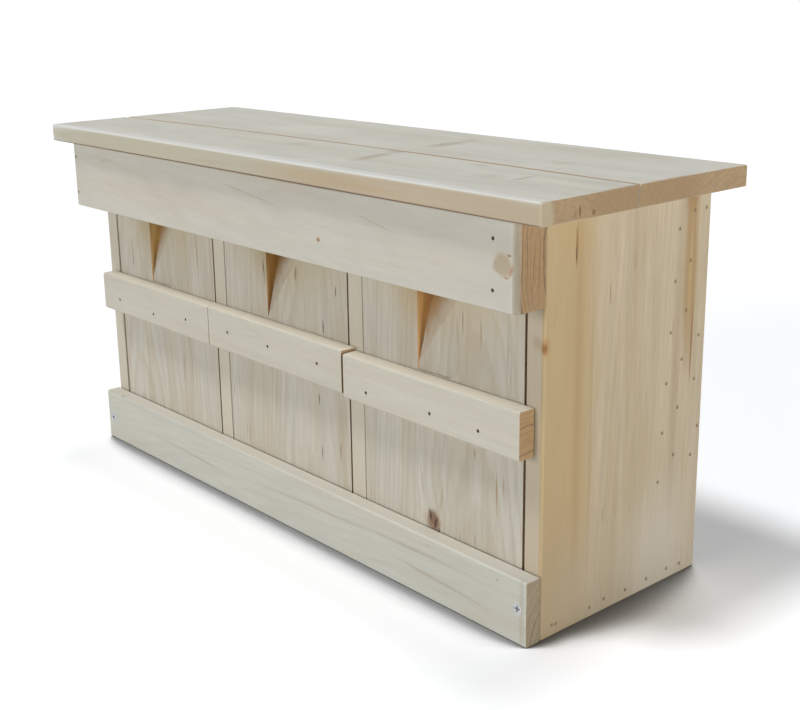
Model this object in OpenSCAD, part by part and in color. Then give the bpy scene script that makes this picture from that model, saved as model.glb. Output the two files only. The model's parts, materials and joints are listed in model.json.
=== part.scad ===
// Three-chamber sparrow nest box of thin softwood boards, nailed together.
// Millimetres. X runs along the front, Y from front to back, Z up.
// The origin lies under the middle of the whole box, on the ground.

/* [Case] */
// Width over the two side panels
case_w = 400; // [380:1:460]
// Depth of the side panels, front to back
case_d = 122; // [112:1:150]
// Height of the side panels
case_h = 209; // [202:1:240]
// Thickness of the sides, dividers, floor and back
board_t = 11.5; // [10:0.5:13]
// Height above the ground where the two back boards meet
back_seam_z = 108; // [80:1:140]

/* [Roof] */
// Thickness of the roof boards
roof_t = 11; // [9:0.5:16]
// How far the roof stands out past each side panel
roof_side = 19.5; // [10:0.5:30]
// How far the roof stands out in front of the side panels
roof_front = 25.5; // [23:0.5:40]
// Width of the front roof board at its left end
roof_board_left = 56.5; // [50:0.5:70]
// Width of the front roof board at its right end
roof_board_right = 64.5; // [50:0.5:70]
// How far the edge that the two roof boards share bows to the back
roof_bow = 6; // [0:0.5:8]
// Open seam between the two roof boards
roof_seam = 0.8; // [0.4:0.1:2]

/* [Fascia] */
// Thickness of the fascia board across the top of the front
fascia_t = 19; // [15:0.5:22]
// Height of the fascia board
fascia_h = 41.7; // [38:0.1:46]
// Gap between the fascia board and the roof
fascia_gap = 1; // [0.3:0.1:2]
// How far the fascia's left end stands out past the side panel
fascia_out = 4; // [3:0.5:8]

/* [Doors] */
// Gap to the left of a door panel
door_gap_left = 0.4; // [0.3:0.1:1]
// Gap to the right of a door panel
door_gap_right = 1; // [0.3:0.1:1.5]
// How far a fully lifted door panel clears the bottom rail
lift_clear = 1.1; // [0.5:0.1:3]
// Room left under the roof when a door panel is fully lifted
lift_spare = 1; // [0.5:0.1:2]

/* [Entrances] */
// Width of an entrance
entry_w = 31; // [26:0.5:36]
// How far above the perch bar the sloping entrance cut starts
entry_above = 0.5; // [0:0.1:8]
// Rise over which the cut's front edge crosses the entrance's width
entry_slant = 42; // [34:1:50]
// How far below the fascia the entrance goes right through the panel
entry_through = 5; // [4.6:0.1:12]
// Depth of the shallow step round the cut in the outer two doors
entry_step = 0.8; // [0.4:0.1:1.5]
// Radius of that step's lower right corner
entry_step_r = 10; // [6:1:14]

/* [Perch bars] */
// Thickness of a perch bar
perch_t = 10.3; // [8:0.1:14]
// Height of a perch bar
perch_h = 24.7; // [20:0.1:30]
// Height of a perch bar's underside above the ground
perch_z = 95.3; // [80:0.1:96]
// Gap between the ends of two perch bars
perch_gap = 0.9; // [0.5:0.1:2]
// Radius of the long edges of perch bars and bottom rail
edge_r = 1.6; // [0.8:0.1:2.4]

/* [Corner battens] */
// Width of the battens in the rear corners, front to back
batten_w = 26; // [24:1:30]
// Thickness of the corner battens
batten_t = 18; // [17:1:22]

/* [Bottom rail] */
// Thickness of the bottom rail
rail_t = 10; // [8:0.5:14]
// Height of the bottom rail
rail_h = 34.4; // [30:0.1:34.4]
// Clearance between the rail and the front of the case
rail_gap = 0.3; // [0.2:0.1:0.6]

/* [Fasteners] */
// Radius of a nail's shank
nail_r = 0.6; // [0.5:0.05:0.8]
// Radius of a nail's head
nail_head_r = 0.95; // [0.85:0.05:1.2]
// Thickness of a nail's head
nail_head_t = 0.7; // [0.5:0.1:1]
// How deep a nail's head is sunk below the wood
nail_sink = 0.4; // [0.2:0.1:0.8]
// Length of a nail
nail_l = 25; // [22:1:26]
// Length of the shorter nails in the perch bars
perch_nail_l = 18; // [15:1:19]
// Length of the nails in the fascia
fascia_nail_l = 36; // [30:1:40]
// Radius of a rail screw's shank
screw_r = 1.4; // [1.2:0.1:1.6]
// Radius of a rail screw's head
screw_head_r = 2.8; // [2.4:0.1:3.2]
// Length of a rail screw
screw_l = 25; // [20:1:30]
// Clearance around a screw in its hole
screw_gap = 0.05; // [0.03:0.01:0.08]

/* [Hidden] */
$fn = 24;

// Pieces stand this far off each other where a nail fills its hole
nail_gap = 0.02;
// Cuts run this far past the wood
past = 1;

// The whole box is centred on the origin, roof included
shift_y = -(case_d - roof_front) / 2;
inner_w = case_w - 2 * board_t;
chamber_w = (inner_w - 2 * board_t) / 3;
pitch = chamber_w + board_t;
back_y = case_d - board_t;
batten_y = back_y - batten_w;
roof_w = case_w + 2 * roof_side;
seam_steps = 8;
fascia_z = case_h - fascia_gap - fascia_h;

// Doors are numbered -1, 0 and 1 from the left
LEFT = -1;
MIDDLE = 0;
RIGHT = 1;
door_w = chamber_w - door_gap_left - door_gap_right;
door_lift = rail_h + lift_clear - board_t;
door_top = case_h - door_lift - lift_spare;
function door_x(i) = i * pitch - chamber_w / 2 + door_gap_left;
// The right door's bar and entrance are set a little lower than the others
door_drop = 1.8;
function drop(i) = i == RIGHT ? door_drop : 0;
// The right bar stands off the middle one, and the left one is close to it
perch_shift = 0.5;
function perch_x(i) = i * pitch + (i == MIDDLE ? 0 : perch_shift);
perch_l = pitch - perch_gap;

// The entrance cut is one slanted plane. Along its upright side it gets as deep as the panel
// where the fascia begins, and towards the other side it gets shallower
entry_z = perch_z + perch_h + entry_above;
entry_slot_z = fascia_z - entry_through;
entry_lean = board_t / (fascia_z - entry_z);
entry_turn = entry_lean * entry_slant / entry_w;
entry_pitch = atan(entry_lean / sqrt(1 + entry_turn * entry_turn));
entry_yaw = atan(entry_turn);
entry_reach = 2 * case_h;
function step_depth(i) = i == MIDDLE ? 0 : entry_step;

// Nails were driven by hand. Into the floor, from the front edge of a side panel:
floor_row_y = [8, 11, 36, 47, 64, 81, 98, 109];
// Into the back boards, down from the top of a side panel:
back_column_down = [12, 78, 101, 128, 143];
// Two columns into each corner batten, leaning back as they go up: how far the lowest
// nail is above the ground, the highest below the top, and the column behind the batten's front
batten_column_up = [58, 70];
batten_column_down = [20, 12];
batten_column_in = [3, 15];
batten_column_count = 6;
batten_column_lean = 0.07;
// In a perch bar, from its middle
perch_nail_x = [[-43, 0, 39], [-44, -3, 43], [-45, 4, 38]];
perch_nail_z = [[-3, -5, -1], [0, 0, 0], [-5, -4, -4]];
// The fascia's nails lean to the right on their way into the side panels
fascia_nail_lean = 12;
fascia_nail_in_left = 2.5;
fascia_nail_in_right = 10;
fascia_nail_edge = 9;
// Roof, back and floor nails
roof_nail_front = 20;
roof_nail_back = 18;
roof_nail_seam = 14;
roof_fascia_nails = 4;
roof_fascia_inset = 50;
back_nail_inset = 18;
floor_nail_inset = 20;
floor_nail_count = 3;
stray = 0.9;

// Rail screws sit in the front edges of the side panels
screw_tip = 3;
screw_head_h = 2.2;
recess_l = 3.4;
recess_w = 0.9;
recess_h = 1.3;
screw_z_left = 15.5;
screw_z_right = 19;

// Even spacing from a to b, and the small stray of a hand-driven nail
function spread(a, b, n) = [for (k = [0:n - 1]) a + (b - a) * k / (n - 1)];
function wander(k) = stray * sin(137 * k + 40);

// A board with its four long edges eased, lying along X
module eased_board(l, t, h, r) {
    rotate([90, 0, 90]) linear_extrude(l) {
        translate([r, 0]) square([t - 2 * r, h]);
        translate([0, r]) square([t, h - 2 * r]);
        for (y = [r, t - r], z = [r, h - r]) translate([y, z]) circle(r);
    }
}

// A nail driven along +Z into a surface at Z = 0, and the hole that it fills
module nail(l) {
    translate([0, 0, nail_sink]) {
        cylinder(r = nail_head_r, h = nail_head_t);
        cylinder(r = nail_r, h = l - nail_sink);
    }
}

module nail_hole(l) {
    translate([0, 0, -past]) cylinder(r = nail_head_r + nail_gap, h = past + nail_sink + nail_head_t + nail_gap);
    translate([0, 0, -past]) cylinder(r = nail_r + nail_gap, h = past + l + nail_gap);
}

// Places for nails: each puts its children with +Z pointing into the wood
module at_side_nails(side) {
    for (k = [0:len(floor_row_y) - 1])
        translate([side * case_w / 2, floor_row_y[k], board_t / 2 + wander(k) / 2])
            rotate([0, -side * 90, 0]) children();
    for (k = [0:len(back_column_down) - 1])
        translate([side * case_w / 2, case_d - board_t / 2 + 3 * wander(k), case_h - back_column_down[k]])
            rotate([0, -side * 90, 0]) children();
    for (c = [0, 1], z = spread(batten_column_up[c], case_h - batten_column_down[c], batten_column_count))
        translate([side * case_w / 2,
                   batten_y + batten_column_in[c] + batten_column_lean * (z - batten_column_up[c]), z])
            rotate([0, -side * 90, 0]) children();
}

module at_fascia_nails() {
    for (x = [-case_w / 2 + fascia_nail_in_left, case_w / 2 - fascia_nail_in_right])
        for (z = [fascia_z + fascia_nail_edge, fascia_z + fascia_h - fascia_nail_edge])
            translate([x - fascia_t * tan(fascia_nail_lean) + wander(z), -fascia_t, z])
                rotate([-90, 0, -fascia_nail_lean]) children();
}

module at_perch_nails(i) {
    for (k = [0:2])
        translate([i * pitch + perch_nail_x[i + 1][k], -perch_t,
                   perch_z - drop(i) + perch_h / 2 + perch_nail_z[i + 1][k]])
            rotate([-90, 0, 0]) children();
}

// The middle of the seam between the roof boards, at any X
function seam_y(x) = -roof_front + (roof_board_left + roof_board_right) / 2
                     + (roof_board_right - roof_board_left) * x / roof_w
                     + roof_bow * (1 - pow(2 * x / roof_w, 2));

module at_roof_nails() {
    for (x = [-case_w / 2 + board_t / 2, -pitch / 2, pitch / 2, case_w / 2 - board_t / 2])
        for (y = [roof_nail_front, seam_y(x) + roof_nail_seam, case_d - roof_nail_back])
            translate([x + wander(x + y), y, case_h + roof_t]) rotate([180, 0, 0]) children();
    for (x = spread(-case_w / 2 + roof_fascia_inset, case_w / 2 - roof_fascia_inset, roof_fascia_nails))
        translate([x, -fascia_t / 2 + wander(x), case_h + roof_t]) rotate([180, 0, 0]) children();
}

module at_back_nails() {
    for (x = [-pitch / 2, pitch / 2])
        for (z = [board_t + back_nail_inset, back_seam_z - back_nail_inset,
                  back_seam_z + back_nail_inset, case_h - back_nail_inset])
            translate([x + wander(x + z), case_d, z]) rotate([90, 0, 0]) children();
}

module at_floor_nails() {
    for (x = [-pitch / 2, pitch / 2], y = spread(floor_nail_inset, back_y - floor_nail_inset, floor_nail_count))
        translate([x + wander(x + y), y, 0]) children();
}

module at_rail_screws() {
    for (side = [LEFT, RIGHT])
        translate([side * (case_w - board_t) / 2, -rail_gap - rail_t, side == LEFT ? screw_z_left : screw_z_right])
            rotate([-90, 0, 0]) children();
}

// A cross-head countersunk screw along +Z, its head flush at Z = 0
module rail_screw() {
    difference() {
        union() {
            cylinder(r1 = screw_head_r, r2 = screw_r, h = screw_head_h);
            cylinder(r = screw_r, h = screw_l - screw_tip);
            translate([0, 0, screw_l - screw_tip]) cylinder(r1 = screw_r, r2 = screw_r / 5, h = screw_tip);
        }
        for (turn = [0, 90]) rotate(turn)
            translate([-recess_l / 2, -recess_w / 2, -past]) cube([recess_l, recess_w, past + recess_h]);
    }
}

module rail_screw_hole() {
    translate([0, 0, -past]) cylinder(r = screw_r + screw_gap, h = past + screw_l + screw_gap);
    cylinder(r1 = screw_head_r + screw_gap, r2 = screw_r, h = screw_head_h + screw_gap);
    translate([0, 0, -past]) cylinder(r = screw_head_r + screw_gap, h = past);
}

// Case
module side_panel(side) {
    color("burlywood") difference() {
        translate([side == LEFT ? -case_w / 2 : inner_w / 2, 0, 0]) cube([board_t, case_d, case_h]);
        at_side_nails(side) nail_hole(nail_l);
        at_fascia_nails() nail_hole(fascia_nail_l);
        at_roof_nails() nail_hole(nail_l);
        at_rail_screws() rail_screw_hole();
    }
}

module floor_board() {
    color("tan") difference() {
        translate([-inner_w / 2, 0, 0]) cube([inner_w, case_d, board_t]);
        for (side = [LEFT, RIGHT]) at_side_nails(side) nail_hole(nail_l);
        at_floor_nails() nail_hole(nail_l);
    }
}

module back_board(z0, z1) {
    color("tan") difference() {
        translate([-inner_w / 2, back_y, z0]) cube([inner_w, board_t, z1 - z0]);
        for (side = [LEFT, RIGHT]) at_side_nails(side) nail_hole(nail_l);
        at_back_nails() nail_hole(nail_l);
    }
}

module corner_batten(side) {
    color("tan") difference() {
        translate([side == LEFT ? -inner_w / 2 : inner_w / 2 - batten_t, batten_y, board_t])
            cube([batten_t, batten_w, case_h - board_t]);
        at_side_nails(side) nail_hole(nail_l);
    }
}

module divider(side) {
    color("tan") difference() {
        translate([side * pitch / 2 - board_t / 2, 0, board_t]) cube([board_t, back_y, case_h - board_t]);
        at_back_nails() nail_hole(nail_l);
        at_floor_nails() nail_hole(nail_l);
        at_roof_nails() nail_hole(nail_l);
    }
}

// Roof: two boards, whose shared edge bows and runs a little out of parallel.
// The seam is drawn at equal steps, half the gap in front of or behind its middle
function seam_points(half) = [for (x = spread(-roof_w / 2, roof_w / 2, seam_steps + 1)) [x, seam_y(x) + half]];

module roof_outline(front) {
    x = roof_w / 2;
    if (front) polygon(concat(seam_points(-roof_seam / 2), [[x, -roof_front], [-x, -roof_front]]));
    else polygon(concat(seam_points(roof_seam / 2), [[x, case_d], [-x, case_d]]));
}

module roof_board(front) {
    color("wheat") difference() {
        translate([0, 0, case_h]) linear_extrude(roof_t) roof_outline(front);
        at_roof_nails() nail_hole(nail_l);
    }
}

module fascia_board() {
    color("beige") difference() {
        translate([-case_w / 2 - fascia_out, -fascia_t, fascia_z])
            eased_board(case_w + fascia_out, fascia_t, fascia_h, edge_r / 2);
        at_fascia_nails() nail_hole(fascia_nail_l);
        at_roof_nails() nail_hole(nail_l);
    }
}

// Doors
module step_outline() {
    square([entry_w - entry_step_r, case_h]);
    translate([0, entry_step_r]) square([entry_w, case_h]);
    translate([entry_w - entry_step_r, entry_step_r]) circle(entry_step_r);
}

module entry_cut(i) {
    translate([i * pitch - entry_w / 2, 0, -drop(i)]) {
        translate([0, -past, entry_slot_z]) cube([entry_w, board_t + 2 * past, case_h]);
        if (step_depth(i) > 0)
            translate([0, step_depth(i), entry_z]) rotate([90, 0, 0])
                linear_extrude(step_depth(i) + past) step_outline();
        intersection() {
            translate([0, -past, entry_z]) cube([entry_w, board_t + 2 * past, case_h]);
            translate([0, 0, entry_z]) rotate([-entry_pitch, 0, -entry_yaw])
                translate([-entry_reach, -2 * entry_reach, -entry_reach]) cube(2 * entry_reach);
        }
    }
}

module door_panel(i) {
    color("navajowhite") difference() {
        translate([door_x(i), 0, board_t]) cube([door_w, board_t, door_top - board_t]);
        entry_cut(i);
        at_perch_nails(i) nail_hole(perch_nail_l);
    }
}

module perch_bar(i) {
    color("beige") difference() {
        translate([perch_x(i) - perch_l / 2, -perch_t, perch_z - drop(i)])
            eased_board(perch_l, perch_t, perch_h, edge_r);
        at_perch_nails(i) nail_hole(perch_nail_l);
    }
}

// Bottom rail, the one board held by screws
module bottom_rail() {
    color("beige") difference() {
        translate([-case_w / 2, -rail_gap - rail_t, 0]) eased_board(case_w, rail_t, rail_h, edge_r);
        at_rail_screws() rail_screw_hole();
    }
}

module centred() {
    translate([0, shift_y, 0]) children();
}

module rail_screws() {
    color("silver") at_rail_screws() rail_screw();
}

module perch_nails(i) {
    color("dimgray") at_perch_nails(i) nail(perch_nail_l);
}

module side_nails(side) {
    color("dimgray") at_side_nails(side) nail(nail_l);
}

module fascia_nails() {
    color("dimgray") at_fascia_nails() nail(fascia_nail_l);
}

module roof_nails() {
    color("dimgray") at_roof_nails() nail(nail_l);
}

module back_nails() {
    color("dimgray") at_back_nails() nail(nail_l);
}

module floor_nails() {
    color("dimgray") at_floor_nails() nail(nail_l);
}

centred() side_panel(LEFT);  // side_panel_left
centred() side_panel(RIGHT);  // side_panel_right
centred() floor_board();
centred() back_board(board_t, back_seam_z);  // back_board_lower
centred() back_board(back_seam_z, case_h);  // back_board_upper
centred() divider(LEFT);  // divider_left
centred() divider(RIGHT);  // divider_right
centred() corner_batten(LEFT);  // corner_batten_left
centred() corner_batten(RIGHT);  // corner_batten_right
centred() roof_board(true);  // roof_board_front
centred() roof_board(false);  // roof_board_back
centred() fascia_board();
centred() door_panel(LEFT);  // door_panel_left
centred() door_panel(MIDDLE);  // door_panel_middle
centred() door_panel(RIGHT);  // door_panel_right
centred() perch_bar(LEFT);  // perch_bar_left
centred() perch_bar(MIDDLE);  // perch_bar_middle
centred() perch_bar(RIGHT);  // perch_bar_right
centred() bottom_rail();
centred() rail_screws();
centred() perch_nails(LEFT);  // perch_nails_left
centred() perch_nails(MIDDLE);  // perch_nails_middle
centred() perch_nails(RIGHT);  // perch_nails_right
centred() side_nails(LEFT);  // side_nails_left
centred() side_nails(RIGHT);  // side_nails_right
centred() fascia_nails();
centred() roof_nails();
centred() back_nails();
centred() floor_nails();
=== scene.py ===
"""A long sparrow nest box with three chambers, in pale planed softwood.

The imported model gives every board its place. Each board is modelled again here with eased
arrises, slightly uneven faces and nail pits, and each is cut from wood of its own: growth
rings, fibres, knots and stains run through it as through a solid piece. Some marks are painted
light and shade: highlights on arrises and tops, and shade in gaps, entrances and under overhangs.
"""

import json
import logging
import math
from dataclasses import dataclass, replace
from enum import Enum

import bmesh
import bpy
from mathutils import Matrix, Vector, noise

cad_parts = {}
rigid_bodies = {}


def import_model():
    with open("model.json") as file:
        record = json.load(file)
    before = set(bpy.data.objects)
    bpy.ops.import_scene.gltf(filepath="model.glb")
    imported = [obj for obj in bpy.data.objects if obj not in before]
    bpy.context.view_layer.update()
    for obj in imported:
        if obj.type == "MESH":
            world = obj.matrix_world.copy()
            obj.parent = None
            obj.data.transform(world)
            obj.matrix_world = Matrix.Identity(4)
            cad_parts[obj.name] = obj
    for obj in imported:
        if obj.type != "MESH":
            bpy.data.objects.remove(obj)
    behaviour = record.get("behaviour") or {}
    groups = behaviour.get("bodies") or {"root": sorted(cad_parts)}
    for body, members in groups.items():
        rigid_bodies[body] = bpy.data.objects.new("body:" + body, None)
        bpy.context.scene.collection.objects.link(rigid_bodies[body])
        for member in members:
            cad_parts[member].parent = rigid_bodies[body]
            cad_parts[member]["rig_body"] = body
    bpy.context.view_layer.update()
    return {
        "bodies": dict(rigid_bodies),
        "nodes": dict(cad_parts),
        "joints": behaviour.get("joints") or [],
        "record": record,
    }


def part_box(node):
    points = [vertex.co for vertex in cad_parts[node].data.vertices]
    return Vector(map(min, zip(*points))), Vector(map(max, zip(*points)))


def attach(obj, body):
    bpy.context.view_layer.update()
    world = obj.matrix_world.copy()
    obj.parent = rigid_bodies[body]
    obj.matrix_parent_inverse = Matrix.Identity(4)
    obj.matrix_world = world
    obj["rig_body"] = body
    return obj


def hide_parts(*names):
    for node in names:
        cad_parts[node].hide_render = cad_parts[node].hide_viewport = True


log = logging.getLogger("nest_box")

MM = 0.001
Tone = tuple[int, int, int]
Point = tuple[float, float, float]
Span = tuple[float, float]
Socket = bpy.types.NodeSocket

# The curve between a screen's tones and linear light: straight up to its knee, then a power
FULL_TONE = 255
CURVE_KNEE = 0.04045
CURVE_SLOPE = 12.92
CURVE_OFFSET = 0.055
CURVE_POWER = 2.4


def linear(tone: Tone) -> tuple[float, float, float, float]:
    """Turn a tone as seen on a screen into the linear colour that a shader takes.

    Args:
        tone: Red, green and blue, 0 to 255.

    Returns:
        The linear colour with a full alpha.
    """
    parts = [part / FULL_TONE for part in tone]
    lifted = [(part + CURVE_OFFSET) / (1 + CURVE_OFFSET) for part in parts]
    lit = [part / CURVE_SLOPE if part <= CURVE_KNEE else high ** CURVE_POWER
           for part, high in zip(parts, lifted)]
    return (*lit, 1.0)


class Lay(Enum):
    """How a board lies in its log. The rows give the ways along, across and through it."""

    FLAT_LENGTHWISE = ((1, 0, 0), (0, 1, 0), (0, 0, 1))
    FRONT_LENGTHWISE = ((1, 0, 0), (0, 0, 1), (0, -1, 0))
    FRONT_UPRIGHT = ((0, 0, 1), (1, 0, 0), (0, 1, 0))
    SIDE_UPRIGHT = ((0, 0, 1), (0, 1, 0), (-1, 0, 0))

    @property
    def turn(self) -> Matrix:
        """The turn that takes a point of the box to the board's own three ways."""
        return Matrix(self.value)

    @property
    def axis(self) -> int:
        """The number of the axis along the grain."""
        return [abs(part) for part in self.value[0]].index(1)


class Graph:
    """The nodes of one tree, with short ways to add and link them."""

    # The places of the colours among a Mix node's sockets
    FIRST_COLOUR = 6
    SECOND_COLOUR = 7
    BLENDED_COLOUR = 2

    def __init__(self, tree: bpy.types.NodeTree) -> None:
        """Keep the tree that the nodes go into."""
        self.tree = tree

    @classmethod
    def fresh(cls, owner: bpy.types.Material | bpy.types.World) -> "Graph":
        """Empty the tree of a material or a world, and return its graph."""
        owner.use_nodes = True
        owner.node_tree.nodes.clear()
        return cls(owner.node_tree)

    def add(self, kind: str, feeds: dict | None = None, **settings) -> bpy.types.Node:
        """Add a node.

        Args:
            kind: The node's type.
            feeds: A link or a value for each input, by name or number.
            **settings: The node's own settings.

        Returns:
            The new node.
        """
        node = self.tree.nodes.new(kind)
        for name, value in settings.items():
            setattr(node, name, value)
        for key, value in (feeds or {}).items():
            self.feed(node.inputs[key], value)
        return node

    def feed(self, socket: Socket, value: object) -> None:
        """Link an output to a socket, or set the socket's own value."""
        if isinstance(value, Socket):
            self.tree.links.new(value, socket)
        else:
            socket.default_value = value

    def close(self, kind: str, shader: bpy.types.Node) -> None:
        """Add the tree's output and link a shader to it."""
        self.add(kind, {"Surface": shader.outputs[0]})

    def math(self, operation: str, a: object, b: object = 0.0, c: object = 0.0) -> Socket:
        """Add a Math node and return its result."""
        return self.add("ShaderNodeMath", {0: a, 1: b, 2: c}, operation=operation).outputs[0]

    def vector(self, operation: str, a: object, b: object = (0.0, 0.0, 0.0)) -> bpy.types.Node:
        """Add a Vector Math node and return it."""
        return self.add("ShaderNodeVectorMath", {0: a, 1: b}, operation=operation)

    def blend(self, factor: object, a: object, b: object, mode: str = "MIX") -> Socket:
        """Blend two colours.

        Args:
            factor: How much of the second colour shows.
            a: The first colour.
            b: The second colour.
            mode: The way of blending.

        Returns:
            The blended colour.
        """
        node = self.add("ShaderNodeMix", data_type="RGBA", blend_type=mode)
        self.feed(node.inputs["Factor"], factor)
        self.feed(node.inputs[self.FIRST_COLOUR], a)
        self.feed(node.inputs[self.SECOND_COLOUR], b)
        return node.outputs[self.BLENDED_COLOUR]

    def cover(self, colour: object, tone: Tone, mask: object, share: float) -> Socket:
        """Lay a tone over a colour, up to a share where the mask is 1."""
        return self.blend(self.math("MULTIPLY", mask, share), colour, linear(tone))

    def dim(self, colour: object, level: object) -> Socket:
        """Multiply a colour by a number."""
        grey = self.add("ShaderNodeCombineColor", {0: level, 1: level, 2: level}).outputs[0]
        return self.blend(1.0, colour, grey, "MULTIPLY")

    def remap(self, value: object, source: Span, target: Span = (0.0, 1.0), smooth: bool = False) -> Socket:
        """Map one range of a value onto another.

        Args:
            value: The value.
            source: Where the range starts and ends. It may start at the higher number.
            target: What it starts and ends as.
            smooth: Whether it eases in and out.

        Returns:
            The mapped value, which stays inside the target range.
        """
        feeds = {"Value": value, "From Min": source[0], "From Max": source[1], "To Min": target[0],
                 "To Max": target[1]}
        kind = "SMOOTHSTEP" if smooth else "LINEAR"
        return self.add("ShaderNodeMapRange", feeds, interpolation_type=kind).outputs[0]

    def fade(self, value: object, span: Span) -> Socket:
        """Rise smoothly from 0 to 1 while a value crosses a span."""
        return self.remap(value, span, smooth=True)

    def noise(self, vector: object, scale: float, detail: float, seed: object,
              roughness: float = 0.5) -> Socket:
        """Add seeded noise.

        Args:
            vector: Where the noise is read.
            scale: Its scale.
            detail: How many finer layers it has.
            seed: A number that sets this noise apart.
            roughness: How strong the finer layers are.

        Returns:
            The noise, from 0 to 1.
        """
        feeds = {"Vector": vector, "Scale": scale, "Detail": detail, "W": seed, "Roughness": roughness}
        return self.add("ShaderNodeTexNoise", feeds, noise_dimensions="4D").outputs["Fac"]

    def centred(self, value: Socket) -> Socket:
        """Shift a noise from 0 to 1 so that it lies about 0."""
        return self.math("SUBTRACT", value, 0.5)


VECTOR = "NodeSocketVector"
NUMBER = "NodeSocketFloat"


def new_group(name: str, inputs: dict[str, str], outputs: list[str]) -> tuple[Graph, dict, dict]:
    """Start a shader node group.

    Args:
        name: The group's name.
        inputs: For each input, its socket type.
        outputs: The names of its outputs, all numbers.

    Returns:
        The group's graph, its inputs' sockets and its outputs' sockets, by name.
    """
    tree = bpy.data.node_groups.new(name, "ShaderNodeTree")
    for label, kind in inputs.items():
        tree.interface.new_socket(label, in_out="INPUT", socket_type=kind)
    for label in outputs:
        tree.interface.new_socket(label, in_out="OUTPUT", socket_type=NUMBER)
    graph = Graph(tree)
    source = graph.add("NodeGroupInput")
    sink = graph.add("NodeGroupOutput")
    given = {label: source.outputs[label] for label in inputs}
    return graph, given, {label: sink.inputs[label] for label in outputs}


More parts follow.
